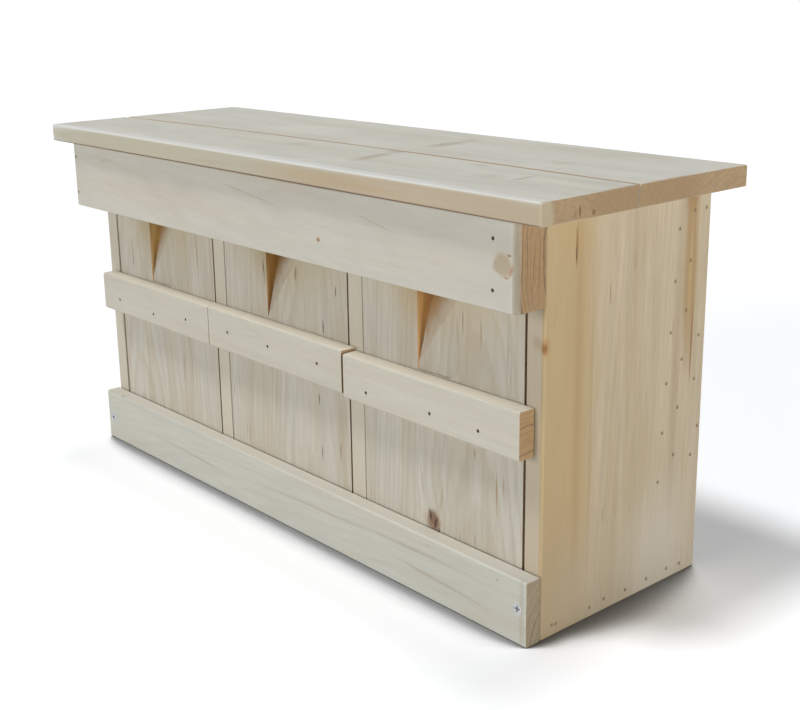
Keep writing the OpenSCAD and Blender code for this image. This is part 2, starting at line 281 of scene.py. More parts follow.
class Grain:
    """The effects that all the boards share, each a node group that is built once.

    A stretch is a noise's fineness along, across and through the wood, per metre.
    """

    # Growth rings: their slow wobble and quick waver, and how years of growth differ
    WOBBLE_STRETCH = (5.0, 22.0, 22.0)
    WAVER_STRETCH = (24.0, 170.0, 170.0)
    WAVER_DEPTH = 1.6 * MM
    RING_DETAIL = 2.0
    CLIMATE_SCALE = 0.35
    CLIMATE_YEARS = 2.2
    # The latewood comes slowly through the year and stops short at its end
    LATE_RISE = (0.30, 0.86)
    LATE_STOP = (1.0, 0.92)
    # Fibres: for each kind its stretch, its detail and what sets its noise apart
    FIBRE_LOOKS = {
        "Fine": ((22.0, 1300.0, 1300.0), 2.0, 3.1),
        "Streak": ((9.0, 330.0, 330.0), 3.0, 7.7),
        "Band": ((4.5, 75.0, 75.0), 3.0, 12.3),
        "Cloud": ((16.0, 48.0, 48.0), 4.0, 19.1),
        "Line": ((8.0, 620.0, 620.0), 1.0, 23.9),
        "Speckle": ((520.0, 520.0, 520.0), 3.0, 31.3),
    }
    FIBRE_ROUGHNESS = 0.6
    # The ragged edge of a mark
    EDGE_SCALE = 1.6
    EDGE_DETAIL = 3.0
    EDGE_ROUGHNESS = 0.65
    # Where the arrises get their painted highlight, in patches
    SHEEN_PATCH_SCALE = 90.0
    SHEEN_PATCH_DETAIL = 2.0
    SHEEN_PATCH_SPAN = (0.3, 0.6)

    def __init__(self) -> None:
        """Build the four groups."""
        self.rings = self.build_rings()
        self.fibres = self.build_fibres()
        self.mark = self.build_mark()
        self.face_tones = self.build_face_tones()

    def build_rings(self) -> bpy.types.NodeTree:
        """Build the growth rings: a dark latewood line at the end of each year's pale wood."""
        graph, given, out = new_group(
            "Growth rings",
            {"Vector": VECTOR, "Pith": VECTOR, "Ring gap": NUMBER, "Wander": NUMBER, "Push": NUMBER,
             "Seed": NUMBER},
            ["Late", "Year"])
        place = graph.vector("SUBTRACT", given["Vector"], given["Pith"]).outputs[0]
        flat = graph.vector("MULTIPLY", place, (0.0, 1.0, 1.0)).outputs[0]
        radius = graph.vector("LENGTH", flat).outputs["Value"]
        wobble = self.ring_noise(graph, given, self.WOBBLE_STRETCH)
        radius = graph.math("ADD", radius, graph.math("MULTIPLY", wobble, given["Wander"]))
        waver = self.ring_noise(graph, given, self.WAVER_STRETCH)
        radius = graph.math("MULTIPLY_ADD", waver, self.WAVER_DEPTH, radius)
        radius = graph.math("ADD", radius, given["Push"])
        years = graph.math("DIVIDE", radius, given["Ring gap"])
        feeds = {"W": graph.math("ADD", years, given["Seed"]), "Scale": self.CLIMATE_SCALE}
        climate = graph.add("ShaderNodeTexNoise", feeds, noise_dimensions="1D").outputs["Fac"]
        years = graph.math("ADD", years, graph.math("MULTIPLY", climate, self.CLIMATE_YEARS))
        part = graph.math("FRACT", years)
        late = graph.math("MULTIPLY", graph.fade(part, self.LATE_RISE), graph.fade(part, self.LATE_STOP))
        year = graph.add("ShaderNodeTexWhiteNoise", {"W": graph.math("FLOOR", years)}, noise_dimensions="1D")
        graph.feed(out["Late"], late)
        graph.feed(out["Year"], year.outputs["Value"])
        return graph.tree

    def ring_noise(self, graph: Graph, given: dict[str, Socket], stretch: Point) -> Socket:
        """Return a noise about 0 that moves the growth rings."""
        place = graph.vector("MULTIPLY", given["Vector"], stretch).outputs[0]
        return graph.centred(graph.noise(place, 1.0, self.RING_DETAIL, given["Seed"]))

    def build_fibres(self) -> bpy.types.NodeTree:
        """Build the fibres: hairlines, streaks, bands and sparse lines, clouds and speckles."""
        graph, given, out = new_group("Fibres", {"Vector": VECTOR, "Seed": NUMBER}, list(self.FIBRE_LOOKS))
        for label, (stretch, detail, shift) in self.FIBRE_LOOKS.items():
            place = graph.vector("MULTIPLY", given["Vector"], stretch).outputs[0]
            seed = graph.math("ADD", given["Seed"], shift)
            graph.feed(out[label], graph.noise(place, 1.0, detail, seed, self.FIBRE_ROUGHNESS))
        return graph.tree

    def build_mark(self) -> bpy.types.NodeTree:
        """Build a mark: a soft round place in the wood, for a knot, a crack or a stain."""
        graph, given, out = new_group(
            "Mark",
            {"Vector": VECTOR, "Centre": VECTOR, "Reach": VECTOR, "Turn": VECTOR, "Softness": NUMBER,
             "Raggedness": NUMBER, "Seed": NUMBER},
            ["Mask", "Distance"])
        place = graph.vector("SUBTRACT", given["Vector"], given["Centre"]).outputs[0]
        place = graph.add("ShaderNodeVectorRotate", {"Vector": place, "Rotation": given["Turn"]},
                          rotation_type="EULER_XYZ").outputs[0]
        place = graph.vector("DIVIDE", place, given["Reach"]).outputs[0]
        distance = graph.vector("LENGTH", place).outputs["Value"]
        rough = graph.centred(graph.noise(place, self.EDGE_SCALE, self.EDGE_DETAIL, given["Seed"],
                                          self.EDGE_ROUGHNESS))
        ragged = graph.math("ADD", distance, graph.math("MULTIPLY", rough, given["Raggedness"]))
        inner = graph.math("SUBTRACT", 1.0, given["Softness"])
        graph.feed(out["Mask"], graph.fade(ragged, (1.0, inner)))
        graph.feed(out["Distance"], ragged)
        return graph.tree

    def build_face_tones(self) -> bpy.types.NodeTree:
        """Build the painted highlight on the arrises, in patches, and the open ends, sawn cuts and darkened
        seams, from the attributes on a board's faces.
        """
        graph, given, out = new_group("Arris highlight and face tones", {"Vector": VECTOR, "Seed": NUMBER},
                                      ["Arris", "End", "Cut", "Seam"])
        patches = graph.noise(given["Vector"], self.SHEEN_PATCH_SCALE, self.SHEEN_PATCH_DETAIL, given["Seed"])
        faces = {label: graph.add("ShaderNodeAttribute", attribute_name=label.lower()).outputs["Fac"]
                 for label in out}
        faces["Arris"] = graph.math("MULTIPLY", faces["Arris"], graph.fade(patches, self.SHEEN_PATCH_SPAN))
        for label, value in faces.items():
            graph.feed(out[label], value)
        return graph.tree


@dataclass(frozen=True)
class Mark:
    """A knot, crack, stain, streak, painted highlight or painted shade, placed in millimetres from the middle
    of the box's front.

    The turn, in degrees about X, Y and Z, lays a sloping mark level before its reach is measured.
    """

    centre: Point
    reach: Point
    tone: Tone
    strength: float
    softness: float
    raggedness: float
    push: float = 0.0
    turn: Point = (0.0, 0.0, 0.0)
    rings: float = 0.0


# Where most of a noise's values lie
BULK = (0.3, 0.7)
# How far round a mark the growth rings are pushed aside, as a share of its reach, and its own rings
PUSH_SPAN = (3.5, 0.0)
KNOT_RING_DEPTH = 0.3
KNOT_RING_LEVEL = 0.7
MARK_SEED_STEP = 2.7
# How strongly one year's latewood differs from the next's
YEAR_SPAN = (-0.6, 1.0)
# The plain wood's bands, its darker and paler streaks and hairlines, and its sparse brown lines
BAND_SPAN = (0.42, 0.66)
STREAK_DEPTHS = (0.07, 0.06)
FINE_DEPTHS = (0.05, 0.04)
CLOUD_PALE_SHARE = 0.7
LINE_SPAN = (0.64, 0.74)
LINE_PATCHES = (0.42, 0.6)
BROWN = (150, 116, 78)
DARK = (96, 70, 46)
# A sawn end's mottling and darker rings, and how far ends, darkened seams and arrises take their tones; an
# arris's paler tone is a painted highlight
MOTTLE_LEVELS = (0.84, 1.1)
END_RING_POWER = 2.0
END_DARK_SHARE = 0.62
ARRIS_PALE_SHARE = 1.05
END_SHARE = 0.9
SEAM_SHARE = 0.85
ARRIS_SHARE = 0.25
# The dry surface
GLOSS_SPAN = (0.2, 0.8)
ROUGHNESS_LEVELS = (0.58, 0.74)
RING_HEIGHT = 0.6
BUMP_STRENGTH = 0.35
BUMP_HEIGHT = 0.12 * MM
SPECULAR = 0.28


@dataclass(frozen=True)
class Wood:
    """The wood of one board: its tones, the place of its rings, and its marks.

    The pith, the ring gap and the wander are in millimetres, the slant and run-out in radians.
    A share says how strongly a tone shows.
    """

    early: Tone
    late: Tone
    warm: Tone
    end: Tone
    pith: tuple[float, float]
    seed: float
    ring_gap: float
    late_share: float
    warm_share: float
    cut: Tone = (156, 118, 72)
    seam: Tone = (150, 124, 92)
    slant: float = 0.0
    run_out: float = 0.05
    wander: float = 3.0
    cloudiness: float = 0.04
    texture: float = 1.0
    lines: float = 0.15
    end_rings: float = 0.9
    marks: tuple[Mark, ...] = ()

    def material(self, name: str, lay: Lay, middle: Vector, front: float, grain: Grain) -> bpy.types.Material:
        """Make the board's material.

        Args:
            name: The material's name.
            lay: How the board lies in its log.
            middle: The board's middle, in metres.
            front: The Y of the front of the box, in metres.
            grain: The shared node groups.

        Returns:
            The material.
        """
        material = bpy.data.materials.new(name)
        graph = Graph.fresh(material)
        spot = graph.add("ShaderNodeTexCoord").outputs["Object"]
        board = self.along_grain(graph, spot, lay, middle)
        marks = [self.place_mark(graph, spot, mark, front, number, grain)
                 for number, mark in enumerate(self.marks)]
        push = 0.0
        for mark, (_, distance) in zip(self.marks, marks):
            if mark.push:
                near = graph.fade(distance, PUSH_SPAN)
                push = graph.math("ADD", push, graph.math("MULTIPLY", near, mark.push * MM))
        pith = (0.0, self.pith[0] * MM, self.pith[1] * MM)
        feeds = {"Vector": board, "Pith": pith, "Ring gap": self.ring_gap * MM, "Wander": self.wander * MM,
                 "Push": push, "Seed": self.seed}
        rings = graph.add("ShaderNodeGroup", feeds, node_tree=grain.rings)
        fibres = graph.add("ShaderNodeGroup", {"Vector": board, "Seed": self.seed}, node_tree=grain.fibres)
        face_tones = graph.add("ShaderNodeGroup", {"Vector": spot, "Seed": self.seed}, node_tree=grain.face_tones)
        late = graph.math("MULTIPLY", rings.outputs["Late"], graph.remap(rings.outputs["Year"], YEAR_SPAN))
        colour = self.tint(graph, late, fibres, face_tones)
        for mark, (mask, distance) in zip(self.marks, marks):
            if mark.rings:
                wave = graph.math("SINE", graph.math("MULTIPLY", distance, math.tau * mark.rings))
                level = graph.math("MULTIPLY_ADD", wave, KNOT_RING_DEPTH, KNOT_RING_LEVEL)
                mask = graph.math("MULTIPLY", mask, level)
            colour = graph.cover(colour, mark.tone, mask, mark.strength)
        self.shade(graph, colour, late, fibres)
        return material

    def along_grain(self, graph: Graph, spot: Socket, lay: Lay, middle: Vector) -> Socket:
        """Centre the board's pattern and turn it along the grain, a little out of line with the edges."""
        lean = Matrix.Rotation(-self.slant, 3, "Z") @ Matrix.Rotation(self.run_out, 3, "Y")
        turn = lean @ lay.turn
        mapping = graph.add("ShaderNodeMapping", {"Vector": spot, "Location": -(turn @ middle),
                                                  "Rotation": turn.to_euler()})
        return mapping.outputs[0]

    @staticmethod
    def place_mark(graph: Graph, spot: Socket, mark: Mark, front: float, number: int,
                   grain: Grain) -> tuple[Socket, Socket]:
        """Put a mark where it lies in the board and return its mask and distance."""
        centre = Vector(mark.centre) * MM + Vector((0.0, front, 0.0))
        turn = [math.radians(angle) for angle in mark.turn]
        feeds = {"Vector": spot, "Centre": centre, "Reach": Vector(mark.reach) * MM, "Turn": turn,
                 "Softness": mark.softness, "Raggedness": mark.raggedness, "Seed": MARK_SEED_STEP * number}
        node = graph.add("ShaderNodeGroup", feeds, node_tree=grain.mark)
        return node.outputs["Mask"], node.outputs["Distance"]

    def tint(self, graph: Graph, late: Socket, fibres: bpy.types.Node, face_tones: bpy.types.Node) -> Socket:
        """Colour the plain wood: latewood lines, warm bands, hairlines, ends, darkened seams and the painted
        highlight on arrises.
        """
        colour = graph.cover(linear(self.early), self.late, late, self.late_share)
        band = graph.fade(fibres.outputs["Band"], BAND_SPAN)
        colour = graph.cover(colour, self.warm, band, self.warm_share)
        colour = graph.blend(face_tones.outputs["Cut"], colour, linear(self.cut))
        depths = {"Streak": [depth * self.texture for depth in STREAK_DEPTHS],
                  "Fine": [depth * self.texture for depth in FINE_DEPTHS],
                  "Cloud": [self.cloudiness, CLOUD_PALE_SHARE * self.cloudiness]}
        streak, fine, cloud = [graph.remap(fibres.outputs[label], BULK, (1.0 - darker, 1.0 + paler))
                               for label, (darker, paler) in depths.items()]
        colour = graph.dim(colour, graph.math("MULTIPLY", graph.math("MULTIPLY", streak, fine), cloud))
        sparse = graph.math("MULTIPLY", graph.fade(fibres.outputs["Line"], LINE_SPAN),
                            graph.fade(fibres.outputs["Cloud"], LINE_PATCHES))
        colour = graph.cover(colour, BROWN, sparse, self.lines)
        rings = graph.math("POWER", late, END_RING_POWER)
        ending = graph.cover(linear(self.end), self.end_dark, rings, self.end_rings)
        ending = graph.dim(ending, graph.remap(fibres.outputs["Speckle"], BULK, MOTTLE_LEVELS))
        colour = graph.blend(graph.math("MULTIPLY", face_tones.outputs["End"], END_SHARE), colour, ending)
        colour = graph.cover(colour, self.seam, face_tones.outputs["Seam"], SEAM_SHARE)
        return graph.cover(colour, self.arris, face_tones.outputs["Arris"], ARRIS_SHARE)

    @property
    def end_dark(self) -> Tone:
        """The tone of the latewood lines on a sawn end."""
        return tuple(round(END_DARK_SHARE * part) for part in self.end)

    @property
    def arris(self) -> Tone:
        """The tone of the painted highlight on an arris, a little paler than the wood."""
        return tuple(round(min(FULL_TONE, ARRIS_PALE_SHARE * part)) for part in self.early)

    def shade(self, graph: Graph, colour: Socket, late: Socket, fibres: bpy.types.Node) -> None:
        """Finish the surface: dull and dry, with the fibres and the rings just raised."""
        rough = graph.remap(fibres.outputs["Streak"], GLOSS_SPAN, ROUGHNESS_LEVELS)
        height = graph.math("ADD", graph.math("MULTIPLY", late, RING_HEIGHT), fibres.outputs["Fine"])
        feeds = {"Height": height, "Strength": BUMP_STRENGTH, "Distance": BUMP_HEIGHT}
        bump = graph.add("ShaderNodeBump", feeds).outputs[0]
        feeds = {"Base Color": colour, "Roughness": rough, "Normal": bump, "Specular IOR Level": SPECULAR}
        graph.close("ShaderNodeOutputMaterial", graph.add("ShaderNodeBsdfPrincipled", feeds))


@dataclass(frozen=True)
class Steel:
    """Dull or bright steel for nail and screw heads, lightly mottled."""

    name: str
    light_tone: Tone
    dull: Tone
    roughness: float
    metallic: float
    seed: float
    mottle_scale: float = 900.0
    mottle_detail: float = 3.0
    mottle_roughness: float = 0.6
    dull_span: Span = (0.35, 0.7)
    smoother: float = 0.1
    rougher: float = 0.15
    bump_strength: float = 0.2
    bump_height: float = 0.05

    def material(self) -> bpy.types.Material:
        """Make the steel's material."""
        material = bpy.data.materials.new(self.name)
        graph = Graph.fresh(material)
        spot = graph.add("ShaderNodeTexCoord").outputs["Object"]
        mottle = graph.noise(spot, self.mottle_scale, self.mottle_detail, self.seed, self.mottle_roughness)
        colour = graph.blend(graph.fade(mottle, self.dull_span), linear(self.light_tone), linear(self.dull))
        levels = (self.roughness - self.smoother, self.roughness + self.rougher)
        rough = graph.remap(mottle, (0.0, 1.0), levels)
        feeds = {"Height": mottle, "Strength": self.bump_strength, "Distance": self.bump_height * MM}
        bump = graph.add("ShaderNodeBump", feeds).outputs[0]
        feeds = {"Base Color": colour, "Roughness": rough, "Metallic": self.metallic, "Normal": bump}
        graph.close("ShaderNodeOutputMaterial", graph.add("ShaderNodeBsdfPrincipled", feeds))
        return material


# What counts as at a place, as touching, and as one point, in metres
NEAR = 0.1 * MM
TOUCH = 1e-7
ONE_POINT = 1e-6
# From which angle on an edge is an arris
SHARP = math.radians(40)
ARRIS_SEGMENTS = 2
# The slow waves in a planed face: how close they come, and what sets boards, sides and faces apart
WAVES_PER_METRE = 14
BOARD_APART = 3.7
SIDE_APART = 5.1
FACE_APART = 9.3
# A face under this share of square to an axis is an eased one, if it lies this near an edge
SQUARE = 0.98
EASED_REACH = 0.4
# From which share of square to the grain a face starts to be an end, and how soon it is one
END_START = 0.5
END_RISE = 0.45


@dataclass(frozen=True)
class Corner:
    """One edge of a board that is rounded more than the others.

    The way says on which side of the board it lies, and is 0 on the axis that it runs along.
    """

    way: tuple[int, int, int]
    radius: float
    segments: int = 4

    def edges(self, form: bmesh.types.BMesh, low: Vector, high: Vector) -> list[bmesh.types.BMEdge]:
        """Find the edge on a block.

        Args:
            form: The block.
            low: The block's lowest corner.
            high: The block's highest corner.

        Returns:
            The edge, alone or in the lengths it is cut into.
        """
        sides = [(axis, high[axis] if side > 0 else low[axis]) for axis, side in enumerate(self.way) if side]
        return [edge for edge in form.edges
                if all(abs(vert.co[axis] - place) < NEAR for vert in edge.verts for axis, place in sides)]


@dataclass
class Board:
    """One wooden board, modelled again in the place of its solid. The sizes are in millimetres."""

    node: str
    lay: Lay
    wood: Wood
    arris: float
    corners: tuple[Corner, ...] = ()
    step: float = 12.0
    unevenness: float = 0.12
    skin: float = 0.02

    def build(self, frame: dict, front: float, grain: Grain) -> bpy.types.Object:
        """Model the board, dress it and put it in the place of its solid.

        Args:
            frame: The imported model.
            front: The Y of the front of the box, in metres.
            grain: The shared node groups.

        Returns:
            The finished board.
        """
        low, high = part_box(self.node)
        form = self.rough_out(low, high)
        self.plane(form, low, high)
        mesh = bpy.data.meshes.new(f"{self.node}_planed")
        form.to_mesh(mesh)
        form.free()
        piece = bpy.data.objects.new(f"{self.node}_planed", mesh)
        bpy.context.scene.collection.objects.link(piece)
        self.fit(piece, frame["nodes"][self.node])
        self.finish_edges(piece.data, low, high)
        self.mark_faces(piece.data, low, high)
        piece.data.materials.clear()
        piece.data.materials.append(
            self.wood.material(f"{self.node} wood", self.lay, (low + high) / 2, front, grain))
        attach(piece, frame["nodes"][self.node]["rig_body"])
        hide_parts(self.node)
        log.info("%s: %d faces", piece.name, len(piece.data.polygons))
        return piece

    def rough_out(self, low: Vector, high: Vector) -> bmesh.types.BMesh:
        """Start from a block of the board's size, round its corners and ease all its other arrises."""
        form = bmesh.new()
        size = high - low - Vector((2, 2, 2)) * self.skin * MM
        place = Matrix.Translation((low + high) / 2) @ Matrix.Diagonal((*size, 1.0))
        bmesh.ops.create_cube(form, size=1.0, matrix=place)
        for corner in self.corners:
            ease(form, corner.edges(form, low, high), corner.radius * MM, corner.segments)
        sharp = [edge for edge in form.edges if edge.calc_face_angle() > SHARP]
        ease(form, sharp, self.arris * MM, ARRIS_SEGMENTS)
        return form

    def plane(self, form: bmesh.types.BMesh, low: Vector, high: Vector) -> None:
        """Cut the block into short lengths and sink its faces here and there, as a plane leaves them."""
        axis = self.lay.axis
        count = max(2, round((high[axis] - low[axis]) / (self.step * MM)))
        normal = Vector([float(i == axis) for i in range(3)])
        for number in range(1, count):
            spot = low + normal * (high[axis] - low[axis]) * number / count
            geometry = form.verts[:] + form.edges[:] + form.faces[:]
            bmesh.ops.bisect_plane(form, geom=geometry, dist=TOUCH, plane_co=spot, plane_no=normal)
        middle = (low + high) / 2
        for vert in form.verts:
            for side in range(3):
                if side == axis:
                    continue
                upper = vert.co[side] > middle[side]
                apart = self.wood.seed * BOARD_APART + side * SIDE_APART + upper * FACE_APART
                wave = noise.noise(Vector((vert.co[axis] * WAVES_PER_METRE, apart, 0.0)))
                sink = self.unevenness * MM * (0.5 + 0.5 * wave)
                vert.co[side] += -sink if upper else sink

    def fit(self, piece: bpy.types.Object, solid: bpy.types.Object) -> None:
        """Cut the piece to its solid, which brings the nail pits, the cuts and any bowed edge."""
        cutter = closed_copy(solid)
        cut = piece.modifiers.new("Fit", "BOOLEAN")
        cut.operation = "INTERSECT"
        cut.solver = "EXACT"
        cut.object = cutter
        graph = bpy.context.evaluated_depsgraph_get()
        fitted = bpy.data.meshes.new_from_object(piece.evaluated_get(graph))
        piece.modifiers.remove(cut)
        spare = piece.data
        piece.data = fitted
        fitted.name = piece.name
        bpy.data.meshes.remove(spare)
        bpy.data.meshes.remove(cutter.data)

    def finish_edges(self, mesh: bpy.types.Mesh, low: Vector, high: Vector) -> None:
        """Ease the edges that the cuts left. A plain board has none."""

    def mark_faces(self, mesh: bpy.types.Mesh, low: Vector, high: Vector) -> None:
        """Note on each face whether it is a sawn end or an arris, which takes the painted highlight, and
        smooth the arrises.
        """
        axis = self.lay.axis
        reach = max([self.arris, *[corner.radius for corner in self.corners]]) + EASED_REACH
        for face in mesh.polygons:
            gaps = sorted(min(face.center[i] - low[i], high[i] - face.center[i]) for i in range(3))
            square = max(abs(part) for part in face.normal)
            face.use_smooth = square < SQUARE and gaps[1] < reach * MM
        note_faces(mesh, "arris", [float(face.use_smooth) for face in mesh.polygons])
        ends = [(abs(face.normal[axis]) - END_START) / END_RISE for face in mesh.polygons]
        note_faces(mesh, "end", [min(max(end, 0.0), 1.0) for end in ends])


def note_faces(mesh: bpy.types.Mesh, label: str, values: list[float]) -> None:
    """Store a number for each face of a mesh, under a name that the materials read."""
    mesh.attributes.new(label, "FLOAT", "FACE").data.foreach_set("value", values)


def ease(form: bmesh.types.BMesh, edges: list[bmesh.types.BMEdge], radius: float, segments: int) -> None:
    """Round a set of edges by a small radius."""
    bmesh.ops.bevel(form, geom=edges, offset=radius, offset_type="OFFSET", segments=segments, profile=0.5,
                    affect="EDGES", material=-1, clamp_overlap=True)


def closed_copy(solid: bpy.types.Object) -> bpy.types.Object:
    """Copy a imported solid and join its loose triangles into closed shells.

    Args:
        solid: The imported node's object, which stays as it is.

    Returns:
        A new object with the closed mesh, in no collection's view.
    """
    form = bmesh.new()
    form.from_mesh(solid.data)
    bmesh.ops.remove_doubles(form, verts=form.verts, dist=ONE_POINT)
    mesh = bpy.data.meshes.new("cutter")
    form.to_mesh(mesh)
    form.free()
    return bpy.data.objects.new("cutter", mesh)


@dataclass
class RoofBoard(Board):
    """A roof board, whose inner edge bows as its solid's does. Its nails are set and filled.

    The seam is drawn a little closer all along, and almost shuts over its last stretch at the right.
    """

    seam_at_back: bool = True
    seam_steps: int = 8
    station_reach: float = 0.01
    closing: float = 0.18
    end_closing: float = 0.37
    shut_length: float = 40.0
    # How far from the right end the seam's faces stay undarkened
    undarkened_end: float = 1.2
    seam_lean: float = 0.3

    def fit(self, piece: bpy.types.Object, solid: bpy.types.Object) -> None:
        """Bend the piece's inner edge to the bow of the seam, which is read from the solid."""
        low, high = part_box(self.node)
        side = 1 if self.seam_at_back else -1
        edge = high.y if self.seam_at_back else low.y
        length = high.x - low.x
        points = [vert.co for vert in solid.data.vertices]
        seam = []
        for number in range(self.seam_steps + 1):
            station = low.x + length * number / self.seam_steps
            near = [point.y for point in points if abs(point.x - station) < self.station_reach * MM]
            seam.append(max(near) if self.seam_at_back else min(near))
        for vert in piece.data.vertices:
            if side * (vert.co.y - (low.y + high.y) / 2) > 0:
                place = (vert.co.x - low.x) / length * self.seam_steps
                number = min(max(int(place), 0), self.seam_steps - 1)
                share = place - number
                shut = max(1 - (high.x - vert.co.x) / (self.shut_length * MM), 0.0)
                closing = self.closing + shut * (self.end_closing - self.closing)
                bow = seam[number] + share * (seam[number + 1] - seam[number])
                vert.co.y += bow - edge + side * closing * MM

    def mark_faces(self, mesh: bpy.types.Mesh, low: Vector, high: Vector) -> None:
        """Note the faces at the seam as well, which are darkened."""
        super().mark_faces(mesh, low, high)
        side = 1 if self.seam_at_back else -1
        middle = (low.y + high.y) / 2
        end = high.x - self.undarkened_end * MM
        note_faces(mesh, "seam", [float(side * face.normal.y > self.seam_lean
                                        and side * (face.center.y - middle) > 0
                                        and face.center.x < end) for face in mesh.polygons])


# Which way a face of a door looks, by its normal: to the front, aside, or aslant as the ramp's does
FACING = 0.99
SIDEWAYS = 0.9
RAMP_SPAN = (-0.95, -0.1)
# From which share of the width on a face is one of the panel's own sides
OUTER_SHARE = 0.48


@dataclass
class DoorPanel(Board):
    """A door panel, with its entrance's front edges just eased.

    The inner share is how much of its width the entrance lies in, from the middle to either side.
    """

    lip: float = 0.35
    wall_stain: float = 0.95
    ramp_stain: float = 0.1
    inner_share: float = 0.4
    front_depth: float = 0.3
    closed_top: float = 2.0
    one_point: float = 2e-7

    def finish_edges(self, mesh: bpy.types.Mesh, low: Vector, high: Vector) -> None:
        """Ease the edges between the panel's front and its entrance."""
        form = bmesh.new()
        form.from_mesh(mesh)
        bmesh.ops.remove_doubles(form, verts=form.verts, dist=self.one_point)
        edges = []
        for edge in form.edges:
            if len(edge.link_faces) != 2:
                continue
            fronts = [face for face in edge.link_faces if face.normal.y < -FACING
                      and face.calc_center_median().y < low.y + self.front_depth * MM]
            spot = (edge.verts[0].co + edge.verts[1].co) / 2
            below = spot.z < high.z - self.closed_top * MM
            if len(fronts) == 1 and below and self.at_entrance(spot, low, high):
                edges.append(edge)
        ease(form, edges, self.lip * MM, ARRIS_SEGMENTS)
        form.to_mesh(mesh)
        form.free()

    def mark_faces(self, mesh: bpy.types.Mesh, low: Vector, high: Vector) -> None:
        """Note the sawn faces of the entrance, its ramp more faintly, and the sides in the gaps, which take a
        painted shade.
        """
        super().mark_faces(mesh, low, high)
        middle = (low.x + high.x) / 2
        width = high.x - low.x
        cuts = []
        for face in mesh.polygons:
            inside = self.at_entrance(face.center, low, high)
            if inside and face.normal.x > SIDEWAYS:
                cuts.append(self.wall_stain)
            elif inside and RAMP_SPAN[0] < face.normal.y < RAMP_SPAN[1]:
                cuts.append(self.ramp_stain)
            else:
                cuts.append(0.0)
        note_faces(mesh, "cut", cuts)
        note_faces(mesh, "seam", [float(abs(face.normal.x) > SIDEWAYS
                                        and abs(face.center.x - middle) > OUTER_SHARE * width)
                                  for face in mesh.polygons])

    def at_entrance(self, spot: Vector, low: Vector, high: Vector) -> bool:
        """Tell whether a point of the panel lies in the upper part that holds the entrance."""
        middle = (low + high) / 2
        return abs(spot.x - middle.x) < self.inner_share * (high.x - low.x) and spot.z > middle.z


@dataclass
class SteelParts:
    """The nails or screws of one node, which keep their solids."""

    node: str
    steel: Steel

    def build(self, frame: dict) -> None:
        """Give the node's solids their steel."""
        solid = frame["nodes"][self.node]
        solid.data.materials.clear()
        solid.data.materials.append(self.steel.material())
        log.info("%s: %s", self.node, self.steel.name)


PALE = dict(early=(198, 194, 183), late=(186, 176, 156), warm=(190, 181, 162), end=(168, 138, 98),
            ring_gap=2.2, late_share=0.2, warm_share=0.4, wander=7.0, lines=0.1, texture=0.55)
BAR = dict(PALE, early=(194, 190, 177))
TOP = dict(PALE, early=(200, 199, 190), late=(184, 178, 162), warm=(190, 184, 168), late_share=0.34,
           warm_share=0.55, cloudiness=0.09, end_rings=0.3)
DOOR = dict(early=(194, 189, 177), late=(174, 162, 140), warm=(180, 169, 148), end=(166, 138, 104),
            ring_gap=2.4, late_share=0.55, warm_share=0.62, lines=0.7)
SIDE = dict(early=(196, 181, 155), late=(180, 162, 130), warm=(184, 167, 136), end=(166, 138, 104),
            ring_gap=2.4, late_share=0.42, warm_share=0.7, lines=0.35)
INNER = dict(early=(194, 184, 162), late=(174, 154, 120), warm=(180, 164, 134), end=(162, 134, 100),
             ring_gap=2.4, late_share=0.45, warm_share=0.5)
NAIL = Steel("nail steel", (166, 148, 122), (130, 112, 90), 0.65, 0.15, 3.0)
DARK_NAIL = Steel("dark nail steel", (78, 68, 58), (50, 42, 36), 0.65, 0.2, 4.0)
ZINC = Steel("zinc plate", (204, 206, 208), (166, 168, 172), 0.42, 0.7, 5.0)
EDGE_TONES = {"left": (194, 189, 175), "middle": (197, 190, 174), "right": (186, 175, 154)}
# The tone of a painted shade in the gap beside an upright board
GAP_SHADE = (110, 86, 62)
CORE_SHARE = 0.8
# Where the marks lie, in millimetres: the faces of the box that carry them
SIDE_FACE = 200
ROOF_TOP = 220
ROOF_END = 219.5
ROOF_FRONT = -25.5
ROOF_MARK_DEPTH = 1.5
FASCIA_FRONT = -19
RAIL_FRONT = -10
UPRIGHT_HALF = 5.75


def knot(centre: Point, reach: Point, rim: Tone, core: Tone, push: float,
         rings: float = 0.0) -> tuple[Mark, ...]:
    """Lay a knot: a ragged rim, a core in another tone, and grain that runs round both.

    Args:
        centre: Its place, as for a mark.
        reach: Its half sizes.
        rim: The tone of its rim.
        core: The tone of its core.
        push: How far it pushes the growth rings aside, in millimetres.
        rings: How many rings show in its core.

    Returns:
        The knot's marks.
    """
    inner = tuple(CORE_SHARE * part for part in reach)
    return (Mark(centre, reach, rim, strength=0.7, softness=0.45, raggedness=0.6, push=push),
            Mark(centre, inner, core, strength=0.85, softness=0.6, raggedness=0.8, rings=rings))


def on_roof(x: float, y: float, across: float, deep: float, tone: Tone, strength: float, softness: float,
            raggedness: float, lean: float = 0.0) -> Mark:
    """Lay a mark on the top of the roof.

    Args:
        x: Its place along the box.
        y: Its place from front to back.
        across: Its half size along the box.
        deep: Its half size from front to back.
        tone: Its tone.
        strength: How strongly it shows.
        softness: How soft its edge is.
        raggedness: How ragged its edge is.
        lean: How far it is turned, in degrees.

    Returns:
        The mark.
    """
    return Mark((x, y, ROOF_TOP), (across, deep, ROOF_MARK_DEPTH), tone, strength, softness, raggedness,
                turn=(0.0, 0.0, lean))


def streak(x: float, z: float, width: float, length: float, tone: Tone, strength: float,
           lean: float = 0.0) -> Mark:
    """Lay a thin upright streak or crack on a door's front, leaning to the right by some degrees."""
    return Mark((x, 0, z), (width, 2.0, length), tone, strength, softness=0.7, raggedness=0.8,
                turn=(0.0, -lean, 0.0))


